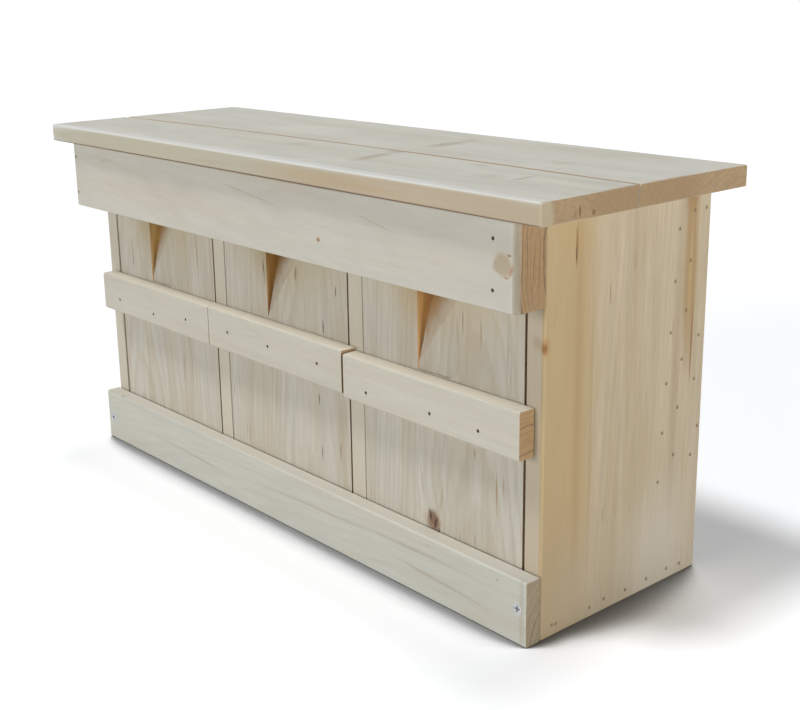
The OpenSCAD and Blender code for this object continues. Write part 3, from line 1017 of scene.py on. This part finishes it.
@dataclass
class Case:
    """The case: sides, floor, back, dividers and corner battens, with their nails.

    The places are those of the uprights' middles across the box.
    """

    arris: float = 0.45
    side_arris: float = 0.8
    side_place: float = 194.25
    divider_place: float = 64.75

    def build(self, frame: dict, front: float, grain: Grain) -> None:
        """Build the case's boards and give its nails their steel."""
        boards = [
            Board("side_panel_right", Lay.SIDE_UPRIGHT,
                  Wood(**SIDE, pith=(-70, -90), seed=11.0, marks=self.side_marks()), self.side_arris),
            Board("side_panel_left", Lay.SIDE_UPRIGHT,
                  Wood(**SIDE, pith=(40, 80), seed=12.0,
                       marks=self.front_edge(-self.side_place, EDGE_TONES["left"])), self.arris),
            Board("floor_board", Lay.FLAT_LENGTHWISE, Wood(**INNER, pith=(10, -70), seed=13.0), self.arris),
            Board("back_board_lower", Lay.FRONT_LENGTHWISE,
                  Wood(**INNER, pith=(-10, -50), seed=14.0), self.arris),
            Board("back_board_upper", Lay.FRONT_LENGTHWISE,
                  Wood(**INNER, pith=(20, 60), seed=15.0), self.arris),
            Board("divider_left", Lay.SIDE_UPRIGHT,
                  Wood(**INNER, pith=(30, -60), seed=16.0,
                       marks=self.front_edge(-self.divider_place, EDGE_TONES["middle"])), self.arris),
            Board("divider_right", Lay.SIDE_UPRIGHT,
                  Wood(**INNER, pith=(-30, 60), seed=17.0,
                       marks=self.front_edge(self.divider_place, EDGE_TONES["middle"])), self.arris),
            Board("corner_batten_left", Lay.SIDE_UPRIGHT,
                  Wood(**INNER, pith=(-20, -20), seed=18.0), self.arris),
            Board("corner_batten_right", Lay.SIDE_UPRIGHT,
                  Wood(**INNER, pith=(20, 20), seed=19.0), self.arris),
        ]
        for board in boards:
            board.build(frame, front, grain)
        for node in ("side_nails_left", "side_nails_right", "back_nails", "floor_nails", "roof_nails"):
            SteelParts(node, NAIL).build(frame)

    @staticmethod
    def front_edge(place: float, tone: Tone) -> tuple[Mark, Mark]:
        """Return the paler tone of an upright board's front edge, and a painted shade in the gap on its
        right.

        Args:
            place: The edge's middle across the box.
            tone: The edge's tone.

        Returns:
            Both marks.
        """
        return (Mark((place, 0, 105), (16, 1.4, 400), tone, 0.8, 0.5, 0.15),
                Mark((place + UPRIGHT_HALF, 4.2, 105), (0.7, 3.9, 400), GAP_SHADE, 0.85, 0.3, 0.0))

    def side_marks(self) -> tuple[Mark, ...]:
        """Return what shows on the right side: yellow sapwood in front, a brown stripe behind, cracks, and a
        paler grey lower part, lightened further as painted light.
        """
        return (
            self.front_edge(self.side_place, EDGE_TONES["right"])[0],
            Mark((SIDE_FACE, 9, 105), (3, 36, 400), (184, 158, 112), 0.75, 0.6, 0.12),
            Mark((SIDE_FACE, 23, 105), (2, 4.5, 220), (172, 142, 100), 0.5, 0.9, 0.5),
            Mark((SIDE_FACE, 10, 10), (3, 30, 80), (172, 152, 120), 0.6, 0.9, 0.3),
            Mark((SIDE_FACE, 33, 90), (2, 1.6, 150), (172, 150, 114), 0.45, 0.8, 0.5),
            Mark((SIDE_FACE, 98, 120), (3, 4.5, 140), (170, 150, 122), 0.55, 0.8, 0.3),
            # The lower part's paler grey, lightened further as painted light
            Mark((SIDE_FACE, 90, 14), (3, 44, 62), (206, 197, 180), 0.75, 0.9, 0.2),
            Mark((SIDE_FACE, 30, 4), (3, 42, 66), (184, 170, 146), 0.6, 0.9, 0.2),
            Mark((SIDE_FACE, 20.5, 192), (2, 1.3, 13), (140, 104, 62), 0.75, 0.8, 0.5),
            Mark((SIDE_FACE, 20.2, 188), (2, 0.6, 5.5), DARK, 0.75, 0.6, 0.5),
            Mark((SIDE_FACE, 45, 165), (2, 0.6, 8), (140, 112, 76), 0.6, 0.7, 0.5),
            Mark((SIDE_FACE, 44, 53), (2, 0.6, 7), (140, 118, 88), 0.5, 0.7, 0.5),
            Mark((SIDE_FACE, 63, 178), (2, 2.0, 7), (162, 142, 112), 0.4, 0.8, 0.4),
            Mark((SIDE_FACE, 107, 176), (3, 7.5, 76), (160, 126, 76), 0.75, 0.7, 0.5),
            Mark((SIDE_FACE, 107.0, 166), (3, 2.2, 40), (190, 164, 118), 0.6, 0.8, 0.5),
            Mark((SIDE_FACE, 106.0, 209), (3, 11, 18), (138, 104, 58), 0.55, 0.9, 0.5),
            Mark((SIDE_FACE, 110.5, 128), (2, 1.2, 30), (136, 92, 48), 0.7, 0.7, 0.4),
            Mark((SIDE_FACE, 1.0, 147.5), (4.5, 3.2, 6.0), (176, 136, 88), 0.75, 0.7, 0.5, 0.8),
            Mark((199.6, 0.2, 147.0), (2.2, 2.0, 3.2), (136, 92, 50), 0.8, 0.7, 0.5),
            Mark((195.0, 0, 149.0), (4.0, 1.4, 5.0), (160, 138, 108), 0.5, 0.9, 0.4),
        )


@dataclass
class Roof:
    """The two roof boards, which meet at a bowed seam."""

    arris: float = 0.4
    front_round: float = 1.5
    foot_round: float = 0.9
    seam_round: float = 1.5

    def build(self, frame: dict, front: float, grain: Grain) -> None:
        """Build both boards."""
        front_corners = (Corner((0, -1, 1), self.front_round), Corner((0, 1, 1), self.seam_round),
                         Corner((0, -1, -1), self.foot_round))
        back_corners = (Corner((0, -1, 1), self.seam_round), Corner((0, 1, 1), self.front_round))
        RoofBoard("roof_board_front", Lay.FLAT_LENGTHWISE,
                  Wood(**TOP, pith=(-40, -75), seed=21.0, marks=self.front_marks()),
                  self.arris, front_corners, seam_at_back=True).build(frame, front, grain)
        RoofBoard("roof_board_back", Lay.FLAT_LENGTHWISE,
                  Wood(**TOP, pith=(50, -65), seed=22.0, marks=self.back_marks()),
                  self.arris, back_corners, seam_at_back=False).build(frame, front, grain)

    @staticmethod
    def front_marks() -> tuple[Mark, ...]:
        """Return the front board's marks: a tan front edge, a painted highlight along the top's front, a
        painted shade under the front edge, a brown end, streaks and tear-outs.
        """
        tan = Mark((-60, ROOF_FRONT, 214), (190, 1.7, 7.6), (178, 170, 147), 0.75, 0.25, 0.1)
        grey = (150, 138, 118)
        return (
            tan,
            replace(tan, centre=(150, ROOF_FRONT, 214), reach=(170, 1.7, 7.6), tone=(180, 160, 130),
                    softness=0.5),
            # A painted highlight along the front of the roof's top
            on_roof(0, -24, 400, 7.5, (212, 213, 210), 0.7, 0.5, 0.3),
            # A painted shade under the roof's front edge
            Mark((0, ROOF_FRONT, 208.9), (400, 2.5, 1.5), (112, 84, 56), 0.85, 0.4, 0.15),
            Mark((-30, ROOF_FRONT, 213), (34, 1.6, 2.0), (178, 160, 128), 0.3, 0.9, 0.6),
            Mark((110, ROOF_FRONT, 213), (30, 1.6, 2.4), (186, 158, 118), 0.3, 0.9, 0.6),
            Mark((ROOF_END, -24, 214), (2, 8, 14), (186, 174, 148), 0.75, 0.5, 0.3),
            Mark((ROOF_END, 32, 214), (2, 34, 14), (154, 126, 92), 0.5, 0.5, 0.3),
            Mark((ROOF_END, -1, 213), (2, 1.0, 3.4), (118, 84, 46), 0.8, 0.6, 0.6),
            Mark((ROOF_END, -4, 212), (2, 1.6, 2.6), BROWN, 0.6, 0.7, 0.6),
            Mark((ROOF_END, 8, 211.5), (2, 1.5, 1.8), (118, 84, 46), 0.7, 0.6, 0.6),
            Mark((ROOF_END, 40.4, 219.6), (3, 1.8, 1.6), (84, 62, 36), 0.85, 0.5, 0.4),
            on_roof(62, 17, 6.5, 27, (148, 132, 108), 0.55, 0.9, 0.9, -13.0),
            on_roof(57, 38, 9, 6, (146, 128, 104), 0.5, 0.9, 0.7),
            on_roof(125.7, 32.4, 9, 4, grey, 0.35, 0.9, 0.9),
            on_roof(-9, 22, 12, 9, grey, 0.25, 0.9, 0.9),
            on_roof(154, 12, 14, 12, grey, 0.22, 0.9, 0.9),
            on_roof(170, 17, 1.5, 13, (128, 110, 88), 0.6, 0.8, 0.7, -5.0),
            on_roof(-145.3, 18.4, 0.9, 4, grey, 0.4, 0.7, 0.5),
            on_roof(-17.7, -8.2, 1.0, 4, grey, 0.4, 0.7, 0.5),
            on_roof(-11.9, 27.2, 1.0, 5, grey, 0.4, 0.7, 0.5),
        )

    @staticmethod
    def back_marks() -> tuple[Mark, ...]:
        """Return the back board's marks: a brown end and short streaks."""
        short = on_roof(-102.3, 71.4, 1.2, 5, (160, 146, 122), 0.4, 0.7, 0.5)
        places = [(129.3, 71.6), (162.7, 49.4), (120.2, 111.5), (174.5, 108.2)]
        return (
            Mark((ROOF_END, 60, 214), (2, 30, 14), (154, 126, 92), 0.5, 0.5, 0.3),
            on_roof(55, 78, 8, 25, (150, 132, 108), 0.55, 0.9, 0.9, -3.0),
            on_roof(53, 98, 11, 8, (152, 136, 112), 0.35, 0.9, 0.7),
            on_roof(150, 66, 14, 7, (160, 148, 126), 0.3, 0.9, 0.9),
            short, *[replace(short, centre=(x, y, ROOF_TOP)) for x, y in places],
        )


@dataclass
class Fascia:
    """The thick board across the top of the front, with two nails into each side panel."""

    arris: float = 0.5
    foot_round: float = 1.0
    end_round: float = 4.0
    end_segments: int = 6

    def build(self, frame: dict, front: float, grain: Grain) -> None:
        """Build the board and give its nails their steel."""
        flame = Mark((-3.6, FASCIA_FRONT, 197), (54, 3, 0.8), (178, 160, 128), 0.5, 0.9, 0.9,
                     turn=(0.0, -7.6, 0.0))
        end_lines = [(-15.6, 187, 0.5, 24, (120, 88, 58), 0.6, 2.0),
                     (-12.2, 190, 0.45, 22, (112, 80, 52), 0.65, -2.0),
                     (-8.4, 184, 0.5, 22, (116, 84, 54), 0.6, 3.0),
                     (-4.4, 188, 0.4, 24, (112, 80, 52), 0.6, 1.0)]
        marks = (
            # Painted shade on the fascia's rounded right front corner, which the lamps light brightly
            Mark((198.6, -17.6, 187), (2.8, 2.8, 60), (146, 136, 114), 0.8, 0.8, 0.5),
            *knot((191.2, -18.6, 188.0), (7.0, 8, 6.6), (170, 148, 118), (174, 162, 136), 2.5, 3.0),
            Mark((196.4, -18.4, 185.4), (1.3, 3.0, 4.2), (164, 112, 76), 0.65, 0.8, 0.6,
                 turn=(0.0, -18.0, 0.0)),
            Mark((193.6, -18.8, 182.4), (2.4, 3.0, 0.9), (160, 110, 74), 0.6, 0.7, 0.6),
            Mark((195.2, -18.6, 192.6), (1.7, 3.0, 1.1), (140, 100, 64), 0.7, 0.7, 0.6),
            *knot((59.2, FASCIA_FRONT, 180.3), (1.9, 3, 1.7), (166, 142, 110), (146, 116, 82), 1.0),
            flame,
            replace(flame, centre=(105.6, FASCIA_FRONT, 194.7), reach=(22, 3, 0.8), turn=(0.0, -11.3, 0.0)),
            replace(flame, centre=(-164, FASCIA_FRONT, 200), reach=(10, 3, 0.7), turn=(0.0, 12.0, 0.0)),
            replace(flame, centre=(-156, FASCIA_FRONT, 185), reach=(8, 3, 0.7), turn=(0.0, -14.0, 0.0)),
            # Painted shade on the top of the fascia's end, under the roof, in a dark orange
            Mark((197, -6, 204), (3, 8, 7), (172, 128, 80), 0.5, 0.8, 0.5),
            *[Mark((SIDE_FACE, y, z), (1.5, width, length), tone, strength, 0.8, 1.0, turn=(lean, 0.0, 0.0))
              for y, z, width, length, tone, strength, lean in end_lines],
        )
        corners = (Corner((1, -1, 0), self.end_round, self.end_segments),
                   Corner((0, -1, -1), self.foot_round))
        wood = Wood(**dict(PALE, end=(162, 128, 84), ring_gap=2.9, late_share=0.16, end_rings=1.0),
                    pith=(10, -75), slant=-0.03, run_out=0.07, seed=31.0, marks=marks)
        Board("fascia_board", Lay.FRONT_LENGTHWISE, wood, self.arris, corners).build(frame, front, grain)
        SteelParts("fascia_nails", DARK_NAIL).build(frame)


@dataclass
class Door:
    """One lift-out door: its panel, its perch bar and the bar's nails."""

    side: str
    panel_wood: Wood
    bar_wood: Wood
    arris: float = 0.3
    top_round: float = 1.3
    foot_round: float = 1.2

    def build(self, frame: dict, front: float, grain: Grain) -> None:
        """Build the door."""
        DoorPanel(f"door_panel_{self.side}", Lay.FRONT_UPRIGHT, self.panel_wood,
                  self.arris).build(frame, front, grain)
        corners = (Corner((0, -1, 1), self.top_round), Corner((0, -1, -1), self.foot_round))
        Board(f"perch_bar_{self.side}", Lay.FRONT_LENGTHWISE, self.bar_wood, self.arris,
              corners).build(frame, front, grain)
        SteelParts(f"perch_nails_{self.side}", DARK_NAIL).build(frame)


@dataclass
class Rail:
    """The bottom rail and its two screws."""

    arris: float = 0.3
    top_round: float = 1.1
    foot_round: float = 1.2

    def build(self, frame: dict, front: float, grain: Grain) -> None:
        """Build the rail and give its screws their zinc."""
        flames = [(40, 21, 70, 1.6, (164, 154, 136), 2.0),
                  (-90, 16, 60, 1.4, (164, 154, 136), -2.0),
                  (120, 24, 60, 1.5, (160, 150, 132), 1.5),
                  (140, 13, 50, 1.7, (160, 150, 132), -3.0)]
        marks = (
            *knot((-179.8, -8.0, 34.0), (3.2, 2.6, 2.6), (168, 140, 104), (140, 108, 72), 0.8),
            Mark((131.6, RAIL_FRONT, 29.8), (2.4, 3, 0.8), (170, 156, 132), 0.5, 0.7, 0.5),
            Mark((180.9, RAIL_FRONT, 29.1), (1.2, 3, 1.0), (150, 134, 110), 0.5, 0.7, 0.5),
            Mark((197, -5, 17), (2.5, 12, 40), (160, 146, 122), 0.45, 0.8, 0.3),
            # A painted highlight along the rail's top
            Mark((0, -5, 34.8), (400, 8, 1.4), (210, 206, 194), 0.9, 0.4, 0.1),
            *[Mark((x, RAIL_FRONT, z), (length, 3, height), tone, 0.5, 0.9, 1.0, turn=(0.0, lean, 0.0))
              for x, z, length, height, tone, lean in flames],
        )
        corners = (Corner((0, -1, 1), self.top_round), Corner((0, -1, -1), self.foot_round))
        wood = Wood(**dict(PALE, early=(192, 192, 182), late_share=0.34, end=(156, 138, 110), end_rings=0.5),
                    pith=(-20, -40), seed=41.0, marks=marks)
        Board("bottom_rail", Lay.FRONT_LENGTHWISE, wood, self.arris, corners).build(frame, front, grain)
        SteelParts("rail_screws", ZINC).build(frame)


def doors() -> list[Door]:
    """Return the three doors, from the left, each with its own wood."""
    # Painted shade on the doors' upper part below the fascia, in the wood's warmer tone there
    shade = Mark((-129.5, 0, 182), (78, 4, 66), (172, 155, 114), 0.72, 0.9, 0.1)
    # The entrance's brown sawn wood near its left wall, darkened as painted shade
    ramp = Mark((-143, 8, 168), (32, 12, 44), (140, 104, 52), 0.9, 0.85, 0.2)
    # Painted light on each entrance's left wall, in the sawn wood's orange
    lit_wall = Mark((-145, 8, 168), (1.0, 8, 60), (232, 196, 128), 0.9, 0.6, 0.1)
    left = Wood(**dict(DOOR, cut=(178, 138, 82)), pith=(-35, 70), seed=51.0, marks=(
        shade,
        ramp,
        lit_wall,
        # A painted dark line along the gap at the door's left edge, widening the gap's shade
        Mark((-187.6, 0, 100), (1.9, 1.6, 200), (84, 62, 44), 0.85, 0.5, 0.2),
        streak(-89, 148, 1.4, 22, (156, 130, 94), 0.5),
        Mark((-155.6, 0, 98), (2.6, 3, 34), (206, 202, 190), 0.45, 0.8, 0.4),
    ))
    middle = Wood(**dict(DOOR, cut=(168, 118, 62)), pith=(25, 60), seed=52.0, marks=(
        replace(shade, centre=(0, 0, 182)),
        # A painted dark line along the gap at the door's left edge, widening the gap's shade
        Mark((-58.6, 0, 100), (1.1, 1.6, 200), (84, 62, 44), 0.5, 0.5, 0.2),
        replace(ramp, centre=(-13.5, 8, 168), tone=(126, 90, 44), strength=1.0),
        replace(lit_wall, centre=(-15.5, 8, 168), tone=(206, 160, 92)),
        streak(-55, 67, 0.7, 5, BROWN, 0.5, 8),
        streak(-18.3, 150, 0.75, 7, DARK, 0.85, -6),
        streak(-17.4, 143, 0.6, 4, BROWN, 0.7, -2),
        streak(12.7, 151.5, 0.95, 5.5, (74, 52, 34), 0.9, 6),
        Mark((12.5, 0, 151), (4.5, 3, 12), (168, 148, 116), 0.4, 0.9, 0.4, 0.8),
        streak(36.5, 125, 0.7, 6, DARK, 0.9, -3),
        streak(48.3, 147, 0.7, 4.5, DARK, 0.8),
        streak(31, 82, 0.7, 4.5, DARK, 0.8),
        streak(32.4, 50, 0.7, 6, DARK, 0.75),
        streak(49.2, 56, 0.8, 8, DARK, 0.8),
        Mark((50, 0, 62), (7, 3, 34), (176, 160, 138), 0.5, 0.9, 0.3),
    ))
    right = Wood(**dict(DOOR, cut=(204, 158, 102)), pith=(28, 64), seed=53.0, marks=(
        replace(shade, centre=(129.5, 0, 182), tone=(190, 168, 122), strength=0.6),
        replace(ramp, centre=(116, 8, 166), tone=(154, 116, 66), strength=1.0),
        replace(lit_wall, centre=(114, 8, 166), tone=(240, 190, 126)),
        streak(146.8, 150, 0.5, 10, (120, 94, 62), 0.7),
        streak(159.2, 146, 0.5, 11, (130, 102, 68), 0.6),
        streak(176.8, 139, 0.5, 16, (140, 114, 78), 0.5),
        Mark((120.5, 0, 39), (7, 3, 6), (178, 152, 124), 0.4, 0.9, 0.4),
        *knot((125.0, 0, 38.6), (6.4, 4, 7.8), (140, 112, 88), (118, 92, 76), 3.2),
        streak(122.8, 41.5, 1.2, 4.4, (78, 56, 46), 0.9, -12),
        streak(126.6, 38.0, 1.3, 4.6, (78, 56, 46), 0.9, 14),
        streak(129.0, 34.0, 1.1, 2.4, (84, 60, 48), 0.8, 20),
        streak(124.2, 35.6, 1.6, 1.6, (160, 132, 108), 0.7),
        streak(116.5, 58, 1.0, 12, (152, 132, 106), 0.4, -8),
        streak(131, 52, 1.0, 12, (152, 132, 106), 0.4, 8),
        streak(155, 84, 0.7, 4, BROWN, 0.6),
        streak(144.5, 36, 0.6, 3, BROWN, 0.5),
        streak(155.2, 38, 0.7, 4, BROWN, 0.5),
    ))
    # A painted highlight on the perch bars' tops
    light_tone = Mark((0, -5, 120.3), (400, 8, 1.3), (226, 219, 202), 0.9, 0.4, 0.1)
    bar_three = dict(BAR, early=(199, 195, 182), end=(168, 134, 86), end_rings=1.0, pith=(-50, -6))
    return [
        Door("left", left, Wood(**BAR, pith=(-18, -30), seed=54.0, marks=(light_tone,))),
        Door("middle", middle, Wood(**BAR, pith=(14, -34), seed=55.0, marks=(light_tone,))),
        Door("right", right, Wood(**bar_three, seed=56.0, marks=(replace(light_tone, centre=(0, -5, 118.5)),))),
    ]


@dataclass(frozen=True)
class Lamp:
    """A soft sun lamp: its strength, the way to it from the box, and its width in degrees."""

    name: str
    strength: float
    source: Point
    softness: float

    def build(self) -> None:
        """Hang the lamp."""
        lamp = bpy.data.lights.new(self.name, "SUN")
        lamp.energy = self.strength
        lamp.angle = math.radians(self.softness)
        holder = bpy.data.objects.new(self.name, lamp)
        holder.location = self.source
        holder.rotation_euler = Vector(self.source).to_track_quat("Z", "Y").to_euler()
        bpy.context.scene.collection.objects.link(holder)


@dataclass
class Studio:
    """A pale floor, soft light and the camera, at the photograph's viewing angle.

    The contact numbers shape the shadow at the box's foot: how far the floor looks for the box
    and to which side, between which shares of open view it darkens, how dark, and in which tone.
    """

    camera_place: Point = (0.57027, -0.46009, 0.31155)
    heading: float = 49.776
    pitch: float = 74.688
    roll: float = -1.096
    lens: float = 57.01
    shift: tuple[float, float] = (0.0277, -0.0407)
    sensor: float = 36.0
    nearest: float = 0.01
    floor_reach: float = 6.0
    sky: float = 0.09
    floor_white: float = 1.22
    floor_bounce: float = 0.7
    contact_reach: float = 0.085
    contact_side: Point = (-0.75, 0.4, 0.55)
    contact_span: Span = (0.51, 0.7)
    contact_shade: float = 0.21
    contact_tone: tuple[float, ...] = (0.985, 1.0, 1.025, 1.0)
    contact_samples: int = 32
    lamps: tuple[Lamp, ...] = (
        Lamp("overhead", 1.5, (-0.16, -0.33, 0.92), 12.0),
        Lamp("overhead back", 0.7, (-0.07, 0.19, 0.98), 14.0),
        Lamp("front", 1.35, (-0.14, -0.97, 0.2), 26.0),
        Lamp("right", 1.9, (0.99, -0.08, 0.05), 12.0),
    )

    def build(self) -> None:
        """Set up the floor, the sky, the lamps and the camera."""
        self.build_floor()
        self.build_sky()
        for lamp in self.lamps:
            lamp.build()
        self.build_camera()
        bpy.context.scene.view_settings.view_transform = "Standard"

    def build_floor(self) -> None:
        """Lay the floor. The camera sees it near white, with the box's shadow, darkest close to its foot."""
        form = bmesh.new()
        bmesh.ops.create_grid(form, x_segments=2, y_segments=2, size=self.floor_reach)
        mesh = bpy.data.meshes.new("floor")
        form.to_mesh(mesh)
        form.free()
        floor = bpy.data.objects.new("floor", mesh)
        bpy.context.scene.collection.objects.link(floor)
        material = bpy.data.materials.new("floor")
        graph = Graph.fresh(material)
        feeds = {"Distance": self.contact_reach, "Normal": Vector(self.contact_side).normalized()}
        near = graph.add("ShaderNodeAmbientOcclusion", feeds, samples=self.contact_samples).outputs["AO"]
        levels = (self.floor_white * self.contact_shade, self.floor_white)
        shaded = graph.dim(self.contact_tone, graph.remap(near, self.contact_span, levels, smooth=True))
        colour = graph.blend(seen_directly(graph), (*[self.floor_bounce] * 3, 1.0), shaded)
        graph.close("ShaderNodeOutputMaterial", graph.add("ShaderNodeBsdfDiffuse", {"Color": colour}))
        mesh.materials.append(material)

    def build_sky(self) -> None:
        """Light the box evenly from all round, and show white behind it."""
        world = bpy.data.worlds.new("studio")
        graph = Graph.fresh(world)
        colour = graph.blend(seen_directly(graph), (self.sky, self.sky, self.sky, 1.0), (1.0, 1.0, 1.0, 1.0))
        graph.close("ShaderNodeOutputWorld", graph.add("ShaderNodeBackground", {"Color": colour}))
        bpy.context.scene.world = world

    def build_camera(self) -> None:
        """Place the camera and make it the scene's own."""
        lens = bpy.data.cameras.new("camera")
        lens.sensor_width = self.sensor
        lens.lens = self.lens
        lens.shift_x, lens.shift_y = self.shift
        lens.clip_start = self.nearest
        camera = bpy.data.objects.new("camera", lens)
        turn = (Matrix.Rotation(math.radians(self.heading), 4, "Z")
                @ Matrix.Rotation(math.radians(self.pitch), 4, "X")
                @ Matrix.Rotation(math.radians(self.roll), 4, "Z"))
        camera.matrix_world = Matrix.Translation(self.camera_place) @ turn
        bpy.context.scene.collection.objects.link(camera)
        bpy.context.scene.camera = camera


def seen_directly(graph: Graph) -> bpy.types.NodeSocket:
    """Return 1 for rays from the camera, and for those that gloss or glass passes on."""
    path = graph.add("ShaderNodeLightPath")
    seen = graph.math("MAXIMUM", path.outputs["Is Camera Ray"], path.outputs["Is Glossy Ray"])
    return graph.math("MAXIMUM", seen, path.outputs["Is Transmission Ray"])


def corners(box: tuple[Vector, Vector]) -> list[list[float]]:
    """Turn a box's two corners into plain lists of numbers."""
    return [[float(part) for part in corner] for corner in box]


def main() -> None:
    """Build the studio and the nest box."""
    logging.basicConfig(level=logging.INFO, format="%(name)s: %(message)s")
    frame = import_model()
    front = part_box("door_panel_middle")[0].y
    grain = Grain()
    Studio().build()
    Case().build(frame, front, grain)
    Roof().build(frame, front, grain)
    Fascia().build(frame, front, grain)
    for door in doors():
        door.build(frame, front, grain)
    Rail().build(frame, front, grain)


if __name__ == "__main__":
    main()
